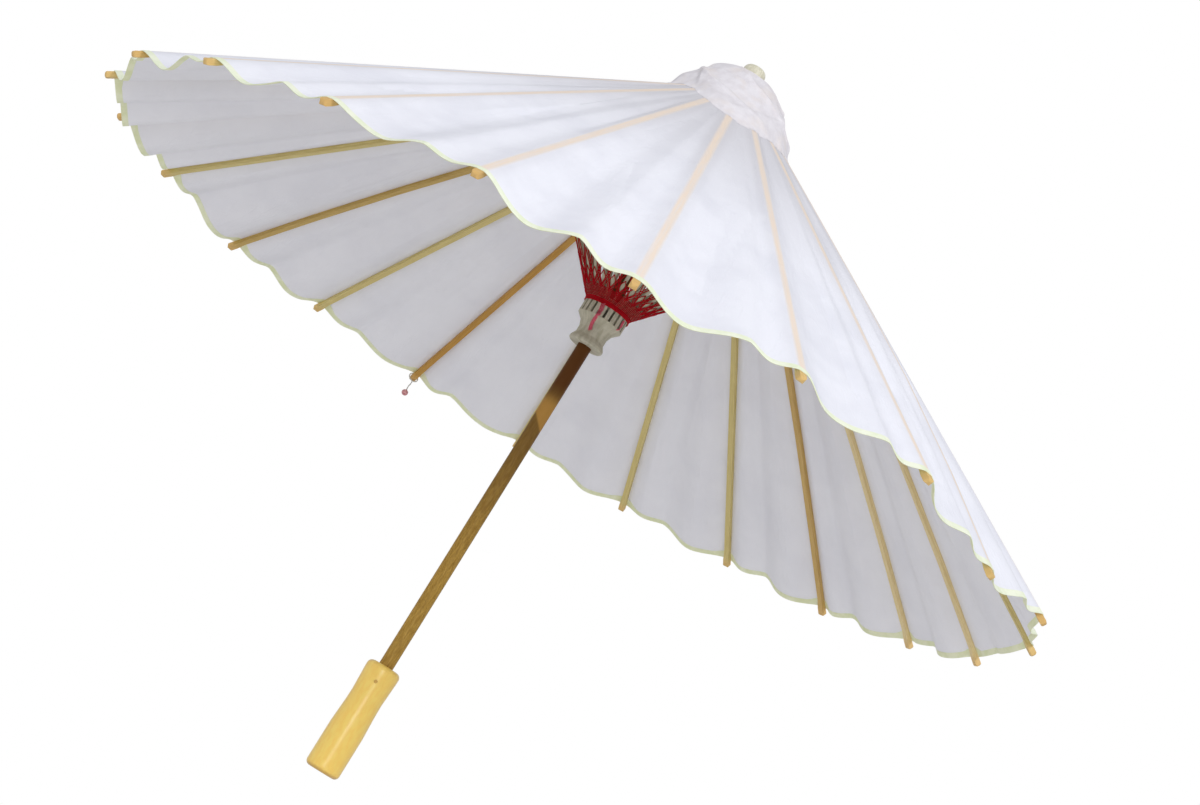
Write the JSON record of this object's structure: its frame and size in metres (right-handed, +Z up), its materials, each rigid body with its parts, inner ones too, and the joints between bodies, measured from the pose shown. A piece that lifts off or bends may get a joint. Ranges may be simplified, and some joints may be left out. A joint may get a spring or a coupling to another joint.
{
  "type": "oil paper umbrella",
  "caption": "Folding paper umbrella: oiled paper cone on split bamboo ribs hinged to a top notch, with short ribs on a sliding runner, a sprung catch and a turned grip.",
  "frame": {"origin": "centre of the handle's end face", "axes": "+Z up the shaft to the finial; +X through long rib 00"},
  "size_m": [0.6028, 0.597, 0.471],
  "materials": {
    "shaft_wood": "stained satin bamboo pole",
    "handle_wood": "lacquered pale turned wood",
    "bamboo_pin": "plain split bamboo",
    "notch_wood": "matt grey-beige turned wood",
    "catch_bamboo": "springy split bamboo",
    "rib_bamboo": "split bamboo, matt",
    "short_rib_bamboo": "pale split bamboo, matt",
    "oiled_paper": "white oiled paper, soft sheen",
    "rim_paper": "pale lime paper edge, matt",
    "cap_paper": "layered white paper",
    "ivory_wood": "ivory painted turned wood",
    "red_thread": "twisted red thread",
    "white_thread": "waxed white thread",
    "bead": "small glossy bead"
  },
  "bodies": {
    "frame": {"shaft": "shaft_wood", "handle": "handle_wood", "handle_pin": "bamboo_pin", "catch_pin": "bamboo_pin", "notch_pin": "bamboo_pin", "upper_notch": "notch_wood", "upper_notch_thread": "white_thread", "canopy": "oiled_paper", "rim_band": "rim_paper", "cap": "cap_paper", "finial": "ivory_wood"},
    "runner": {"runner": "notch_wood", "runner_thread": "red_thread", "lacing": "red_thread"},
    "catch": {"catch": "catch_bamboo"},
    "long_rib_00": {"long_rib_00": "rib_bamboo"},
    "long_rib_01": {"long_rib_01": "rib_bamboo"},
    "long_rib_02": {"long_rib_02": "rib_bamboo"},
    "long_rib_03": {"long_rib_03": "rib_bamboo"},
    "long_rib_04": {"long_rib_04": "rib_bamboo"},
    "long_rib_05": {"long_rib_05": "rib_bamboo"},
    "long_rib_06": {"long_rib_06": "rib_bamboo"},
    "long_rib_07": {"long_rib_07": "rib_bamboo", "closing_bead": "bead"},
    "long_rib_08": {"long_rib_08": "rib_bamboo"},
    "long_rib_09": {"long_rib_09": "rib_bamboo"},
    "long_rib_10": {"long_rib_10": "rib_bamboo"},
    "long_rib_11": {"long_rib_11": "rib_bamboo"},
    "long_rib_12": {"long_rib_12": "rib_bamboo"},
    "long_rib_13": {"long_rib_13": "rib_bamboo"},
    "long_rib_14": {"long_rib_14": "rib_bamboo"},
    "long_rib_15": {"long_rib_15": "rib_bamboo"},
    "long_rib_16": {"long_rib_16": "rib_bamboo"},
    "long_rib_17": {"long_rib_17": "rib_bamboo"},
    "long_rib_18": {"long_rib_18": "rib_bamboo"},
    "long_rib_19": {"long_rib_19": "rib_bamboo"},
    "long_rib_20": {"long_rib_20": "rib_bamboo"},
    "long_rib_21": {"long_rib_21": "rib_bamboo"},
    "short_rib_00": {"short_rib_00": "short_rib_bamboo"},
    "short_rib_01": {"short_rib_01": "short_rib_bamboo"},
    "short_rib_02": {"short_rib_02": "short_rib_bamboo"},
    "short_rib_03": {"short_rib_03": "short_rib_bamboo"},
    "short_rib_04": {"short_rib_04": "short_rib_bamboo"},
    "short_rib_05": {"short_rib_05": "short_rib_bamboo"},
    "short_rib_06": {"short_rib_06": "short_rib_bamboo"},
    "short_rib_07": {"short_rib_07": "short_rib_bamboo"},
    "short_rib_08": {"short_rib_08": "short_rib_bamboo"},
    "short_rib_09": {"short_rib_09": "short_rib_bamboo"},
    "short_rib_10": {"short_rib_10": "short_rib_bamboo"},
    "short_rib_11": {"short_rib_11": "short_rib_bamboo"},
    "short_rib_12": {"short_rib_12": "short_rib_bamboo"},
    "short_rib_13": {"short_rib_13": "short_rib_bamboo"},
    "short_rib_14": {"short_rib_14": "short_rib_bamboo"},
    "short_rib_15": {"short_rib_15": "short_rib_bamboo"},
    "short_rib_16": {"short_rib_16": "short_rib_bamboo"},
    "short_rib_17": {"short_rib_17": "short_rib_bamboo"},
    "short_rib_18": {"short_rib_18": "short_rib_bamboo"},
    "short_rib_19": {"short_rib_19": "short_rib_bamboo"},
    "short_rib_20": {"short_rib_20": "short_rib_bamboo"},
    "short_rib_21": {"short_rib_21": "short_rib_bamboo"}
  },
  "joints": [
    {"name": "runner_slide", "type": "slide", "parent": "frame", "child": "runner", "axis": [0, 0, -1], "range_m": [0, 0.0728], "deforming": ["canopy", "rim_band", "cap", "lacing", "catch"]},
    {"name": "catch_press", "type": "hinge", "parent": "frame", "child": "catch", "pos_m": [-0.00021, 0.00159, 0.232], "axis": [0.9917, 0.1288, 0], "range_deg": [0, 4.3], "stiffness_Nm_per_rad": 0.8},
    {"name": "long_rib_00_hinge", "type": "hinge", "parent": "frame", "child": "long_rib_00", "pos_m": [0.009, 0, 0.4467], "axis": [0, 1, 0], "range_deg": [0, 52.84]},
    {"name": "long_rib_01_hinge", "type": "hinge", "parent": "frame", "child": "long_rib_01", "pos_m": [0.00864, 0.00254, 0.4467], "axis": [-0.2817, 0.9595, 0], "range_deg": [0, 52.84]},
    {"name": "long_rib_02_hinge", "type": "hinge", "parent": "frame", "child": "long_rib_02", "pos_m": [0.00757, 0.00487, 0.4467], "axis": [-0.5406, 0.8413, 0], "range_deg": [0, 52.84]},
    {"name": "long_rib_03_hinge", "type": "hinge", "parent": "frame", "child": "long_rib_03", "pos_m": [0.00589, 0.0068, 0.4467], "axis": [-0.7557, 0.6549, 0], "range_deg": [0, 52.84]},
    {"name": "long_rib_04_hinge", "type": "hinge", "parent": "frame", "child": "long_rib_04", "pos_m": [0.00374, 0.00819, 0.4467], "axis": [-0.9096, 0.4154, 0], "range_deg": [0, 52.84]},
    {"name": "long_rib_05_hinge", "type": "hinge", "parent": "frame", "child": "long_rib_05", "pos_m": [0.00128, 0.00891, 0.4467], "axis": [-0.9898, 0.1423, 0], "range_deg": [0, 52.84]},
    {"name": "long_rib_06_hinge", "type": "hinge", "parent": "frame", "child": "long_rib_06", "pos_m": [-0.00128, 0.00891, 0.4467], "axis": [-0.9898, -0.1423, 0], "range_deg": [0, 52.84]},
    {"name": "long_rib_07_hinge", "type": "hinge", "parent": "frame", "child": "long_rib_07", "pos_m": [-0.00374, 0.00819, 0.4467], "axis": [-0.9096, -0.4154, 0], "range_deg": [0, 52.84]},
    {"name": "long_rib_08_hinge", "type": "hinge", "parent": "frame", "child": "long_rib_08", "pos_m": [-0.00589, 0.0068, 0.4467], "axis": [-0.7557, -0.6549, 0], "range_deg": [0, 52.84]},
    {"name": "long_rib_09_hinge", "type": "hinge", "parent": "frame", "child": "long_rib_09", "pos_m": [-0.00757, 0.00487, 0.4467], "axis": [-0.5406, -0.8413, 0], "range_deg": [0, 52.84]},
    {"name": "long_rib_10_hinge", "type": "hinge", "parent": "frame", "child": "long_rib_10", "pos_m": [-0.00864, 0.00254, 0.4467], "axis": [-0.2817, -0.9595, 0], "range_deg": [0, 52.84]},
    {"name": "long_rib_11_hinge", "type": "hinge", "parent": "frame", "child": "long_rib_11", "pos_m": [-0.009, 0, 0.4467], "axis": [0, -1, 0], "range_deg": [0, 52.84]},
    {"name": "long_rib_12_hinge", "type": "hinge", "parent": "frame", "child": "long_rib_12", "pos_m": [-0.00864, -0.00254, 0.4467], "axis": [0.2817, -0.9595, 0], "range_deg": [0, 52.84]},
    {"name": "long_rib_13_hinge", "type": "hinge", "parent": "frame", "child": "long_rib_13", "pos_m": [-0.00757, -0.00487, 0.4467], "axis": [0.5406, -0.8413, 0], "range_deg": [0, 52.84]},
    {"name": "long_rib_14_hinge", "type": "hinge", "parent": "frame", "child": "long_rib_14", "pos_m": [-0.00589, -0.0068, 0.4467], "axis": [0.7557, -0.6549, 0], "range_deg": [0, 52.84]},
    {"name": "long_rib_15_hinge", "type": "hinge", "parent": "frame", "child": "long_rib_15", "pos_m": [-0.00374, -0.00819, 0.4467], "axis": [0.9096, -0.4154, 0], "range_deg": [0, 52.84]},
    {"name": "long_rib_16_hinge", "type": "hinge", "parent": "frame", "child": "long_rib_16", "pos_m": [-0.00128, -0.00891, 0.4467], "axis": [0.9898, -0.1423, 0], "range_deg": [0, 52.84]},
    {"name": "long_rib_17_hinge", "type": "hinge", "parent": "frame", "child": "long_rib_17", "pos_m": [0.00128, -0.00891, 0.4467], "axis": [0.9898, 0.1423, 0], "range_deg": [0, 52.84]},
    {"name": "long_rib_18_hinge", "type": "hinge", "parent": "frame", "child": "long_rib_18", "pos_m": [0.00374, -0.00819, 0.4467], "axis": [0.9096, 0.4154, 0], "range_deg": [0, 52.84]},
    {"name": "long_rib_19_hinge", "type": "hinge", "parent": "frame", "child": "long_rib_19", "pos_m": [0.00589, -0.0068, 0.4467], "axis": [0.7557, 0.6549, 0], "range_deg": [0, 52.84]},
    {"name": "long_rib_20_hinge", "type": "hinge", "parent": "frame", "child": "long_rib_20", "pos_m": [0.00757, -0.00487, 0.4467], "axis": [0.5406, 0.8413, 0], "range_deg": [0, 52.84]},
    {"name": "long_rib_21_hinge", "type": "hinge", "parent": "frame", "child": "long_rib_21", "pos_m": [0.00864, -0.00254, 0.4467], "axis": [0.2817, 0.9595, 0], "range_deg": [0, 52.84]},
    {"name": "short_rib_00_hinge", "type": "hinge", "parent": "runner", "child": "short_rib_00", "pos_m": [0.01, 0, 0.301], "axis": [0, -1, 0], "range_deg": [0, 38.68]},
    {"name": "short_rib_01_hinge", "type": "hinge", "parent": "runner", "child": "short_rib_01", "pos_m": [0.00959, 0.00282, 0.301], "axis": [0.2817, -0.9595, 0], "range_deg": [0, 38.68]},
    {"name": "short_rib_02_hinge", "type": "hinge", "parent": "runner", "child": "short_rib_02", "pos_m": [0.00841, 0.00541, 0.301], "axis": [0.5406, -0.8413, 0], "range_deg": [0, 38.68]},
    {"name": "short_rib_03_hinge", "type": "hinge", "parent": "runner", "child": "short_rib_03", "pos_m": [0.00655, 0.00756, 0.301], "axis": [0.7557, -0.6549, 0], "range_deg": [0, 38.68]},
    {"name": "short_rib_04_hinge", "type": "hinge", "parent": "runner", "child": "short_rib_04", "pos_m": [0.00415, 0.0091, 0.301], "axis": [0.9096, -0.4154, 0], "range_deg": [0, 38.68]},
    {"name": "short_rib_05_hinge", "type": "hinge", "parent": "runner", "child": "short_rib_05", "pos_m": [0.00142, 0.0099, 0.301], "axis": [0.9898, -0.1423, 0], "range_deg": [0, 38.68]},
    {"name": "short_rib_06_hinge", "type": "hinge", "parent": "runner", "child": "short_rib_06", "pos_m": [-0.00142, 0.0099, 0.301], "axis": [0.9898, 0.1423, 0], "range_deg": [0, 38.68]},
    {"name": "short_rib_07_hinge", "type": "hinge", "parent": "runner", "child": "short_rib_07", "pos_m": [-0.00415, 0.0091, 0.301], "axis": [0.9096, 0.4154, 0], "range_deg": [0, 38.68]},
    {"name": "short_rib_08_hinge", "type": "hinge", "parent": "runner", "child": "short_rib_08", "pos_m": [-0.00655, 0.00756, 0.301], "axis": [0.7557, 0.6549, 0], "range_deg": [0, 38.68]},
    {"name": "short_rib_09_hinge", "type": "hinge", "parent": "runner", "child": "short_rib_09", "pos_m": [-0.00841, 0.00541, 0.301], "axis": [0.5406, 0.8413, 0], "range_deg": [0, 38.68]},
    {"name": "short_rib_10_hinge", "type": "hinge", "parent": "runner", "child": "short_rib_10", "pos_m": [-0.00959, 0.00282, 0.301], "axis": [0.2817, 0.9595, 0], "range_deg": [0, 38.68]},
    {"name": "short_rib_11_hinge", "type": "hinge", "parent": "runner", "child": "short_rib_11", "pos_m": [-0.01, 0, 0.301], "axis": [0, 1, 0], "range_deg": [0, 38.68]},
    {"name": "short_rib_12_hinge", "type": "hinge", "parent": "runner", "child": "short_rib_12", "pos_m": [-0.00959, -0.00282, 0.301], "axis": [-0.2817, 0.9595, 0], "range_deg": [0, 38.68]},
    {"name": "short_rib_13_hinge", "type": "hinge", "parent": "runner", "child": "short_rib_13", "pos_m": [-0.00841, -0.00541, 0.301], "axis": [-0.5406, 0.8413, 0], "range_deg": [0, 38.68]},
    {"name": "short_rib_14_hinge", "type": "hinge", "parent": "runner", "child": "short_rib_14", "pos_m": [-0.00655, -0.00756, 0.301], "axis": [-0.7557, 0.6549, 0], "range_deg": [0, 38.68]},
    {"name": "short_rib_15_hinge", "type": "hinge", "parent": "runner", "child": "short_rib_15", "pos_m": [-0.00415, -0.0091, 0.301], "axis": [-0.9096, 0.4154, 0], "range_deg": [0, 38.68]},
    {"name": "short_rib_16_hinge", "type": "hinge", "parent": "runner", "child": "short_rib_16", "pos_m": [-0.00142, -0.0099, 0.301], "axis": [-0.9898, 0.1423, 0], "range_deg": [0, 38.68]},
    {"name": "short_rib_17_hinge", "type": "hinge", "parent": "runner", "child": "short_rib_17", "pos_m": [0.00142, -0.0099, 0.301], "axis": [-0.9898, -0.1423, 0], "range_deg": [0, 38.68]},
    {"name": "short_rib_18_hinge", "type": "hinge", "parent": "runner", "child": "short_rib_18", "pos_m": [0.00415, -0.0091, 0.301], "axis": [-0.9096, -0.4154, 0], "range_deg": [0, 38.68]},
    {"name": "short_rib_19_hinge", "type": "hinge", "parent": "runner", "child": "short_rib_19", "pos_m": [0.00655, -0.00756, 0.301], "axis": [-0.7557, -0.6549, 0], "range_deg": [0, 38.68]},
    {"name": "short_rib_20_hinge", "type": "hinge", "parent": "runner", "child": "short_rib_20", "pos_m": [0.00841, -0.00541, 0.301], "axis": [-0.5406, -0.8413, 0], "range_deg": [0, 38.68]},
    {"name": "short_rib_21_hinge", "type": "hinge", "parent": "runner", "child": "short_rib_21", "pos_m": [0.00959, -0.00282, 0.301], "axis": [-0.2817, -0.9595, 0], "range_deg": [0, 38.68]}
  ],
  "couplings": [
    {"joint": "long_rib_00_hinge", "follows": "runner_slide", "rad_per_m": 12.655},
    {"joint": "long_rib_01_hinge", "follows": "runner_slide", "rad_per_m": 12.655},
    {"joint": "long_rib_02_hinge", "follows": "runner_slide", "rad_per_m": 12.655},
    {"joint": "long_rib_03_hinge", "follows": "runner_slide", "rad_per_m": 12.655},
    {"joint": "long_rib_04_hinge", "follows": "runner_slide", "rad_per_m": 12.655},
    {"joint": "long_rib_05_hinge", "follows": "runner_slide", "rad_per_m": 12.655},
    {"joint": "long_rib_06_hinge", "follows": "runner_slide", "rad_per_m": 12.655},
    {"joint": "long_rib_07_hinge", "follows": "runner_slide", "rad_per_m": 12.655},
    {"joint": "long_rib_08_hinge", "follows": "runner_slide", "rad_per_m": 12.655},
    {"joint": "long_rib_09_hinge", "follows": "runner_slide", "rad_per_m": 12.655},
    {"joint": "long_rib_10_hinge", "follows": "runner_slide", "rad_per_m": 12.655},
    {"joint": "long_rib_11_hinge", "follows": "runner_slide", "rad_per_m": 12.655},
    {"joint": "long_rib_12_hinge", "follows": "runner_slide", "rad_per_m": 12.655},
    {"joint": "long_rib_13_hinge", "follows": "runner_slide", "rad_per_m": 12.655},
    {"joint": "long_rib_14_hinge", "follows": "runner_slide", "rad_per_m": 12.655},
    {"joint": "long_rib_15_hinge", "follows": "runner_slide", "rad_per_m": 12.655},
    {"joint": "long_rib_16_hinge", "follows": "runner_slide", "rad_per_m": 12.655},
    {"joint": "long_rib_17_hinge", "follows": "runner_slide", "rad_per_m": 12.655},
    {"joint": "long_rib_18_hinge", "follows": "runner_slide", "rad_per_m": 12.655},
    {"joint": "long_rib_19_hinge", "follows": "runner_slide", "rad_per_m": 12.655},
    {"joint": "long_rib_20_hinge", "follows": "runner_slide", "rad_per_m": 12.655},
    {"joint": "long_rib_21_hinge", "follows": "runner_slide", "rad_per_m": 12.655},
    {"joint": "short_rib_00_hinge", "follows": "runner_slide", "rad_per_m": 9.2637},
    {"joint": "short_rib_01_hinge", "follows": "runner_slide", "rad_per_m": 9.2637},
    {"joint": "short_rib_02_hinge", "follows": "runner_slide", "rad_per_m": 9.2637},
    {"joint": "short_rib_03_hinge", "follows": "runner_slide", "rad_per_m": 9.2637},
    {"joint": "short_rib_04_hinge", "follows": "runner_slide", "rad_per_m": 9.2637},
    {"joint": "short_rib_05_hinge", "follows": "runner_slide", "rad_per_m": 9.2637},
    {"joint": "short_rib_06_hinge", "follows": "runner_slide", "rad_per_m": 9.2637},
    {"joint": "short_rib_07_hinge", "follows": "runner_slide", "rad_per_m": 9.2637},
    {"joint": "short_rib_08_hinge", "follows": "runner_slide", "rad_per_m": 9.2637},
    {"joint": "short_rib_09_hinge", "follows": "runner_slide", "rad_per_m": 9.2637},
    {"joint": "short_rib_10_hinge", "follows": "runner_slide", "rad_per_m": 9.2637},
    {"joint": "short_rib_11_hinge", "follows": "runner_slide", "rad_per_m": 9.2637},
    {"joint": "short_rib_12_hinge", "follows": "runner_slide", "rad_per_m": 9.2637},
    {"joint": "short_rib_13_hinge", "follows": "runner_slide", "rad_per_m": 9.2637},
    {"joint": "short_rib_14_hinge", "follows": "runner_slide", "rad_per_m": 9.2637},
    {"joint": "short_rib_15_hinge", "follows": "runner_slide", "rad_per_m": 9.2637},
    {"joint": "short_rib_16_hinge", "follows": "runner_slide", "rad_per_m": 9.2637},
    {"joint": "short_rib_17_hinge", "follows": "runner_slide", "rad_per_m": 9.2637},
    {"joint": "short_rib_18_hinge", "follows": "runner_slide", "rad_per_m": 9.2637},
    {"joint": "short_rib_19_hinge", "follows": "runner_slide", "rad_per_m": 9.2637},
    {"joint": "short_rib_20_hinge", "follows": "runner_slide", "rad_per_m": 9.2637},
    {"joint": "short_rib_21_hinge", "follows": "runner_slide", "rad_per_m": 9.2637}
  ]
}
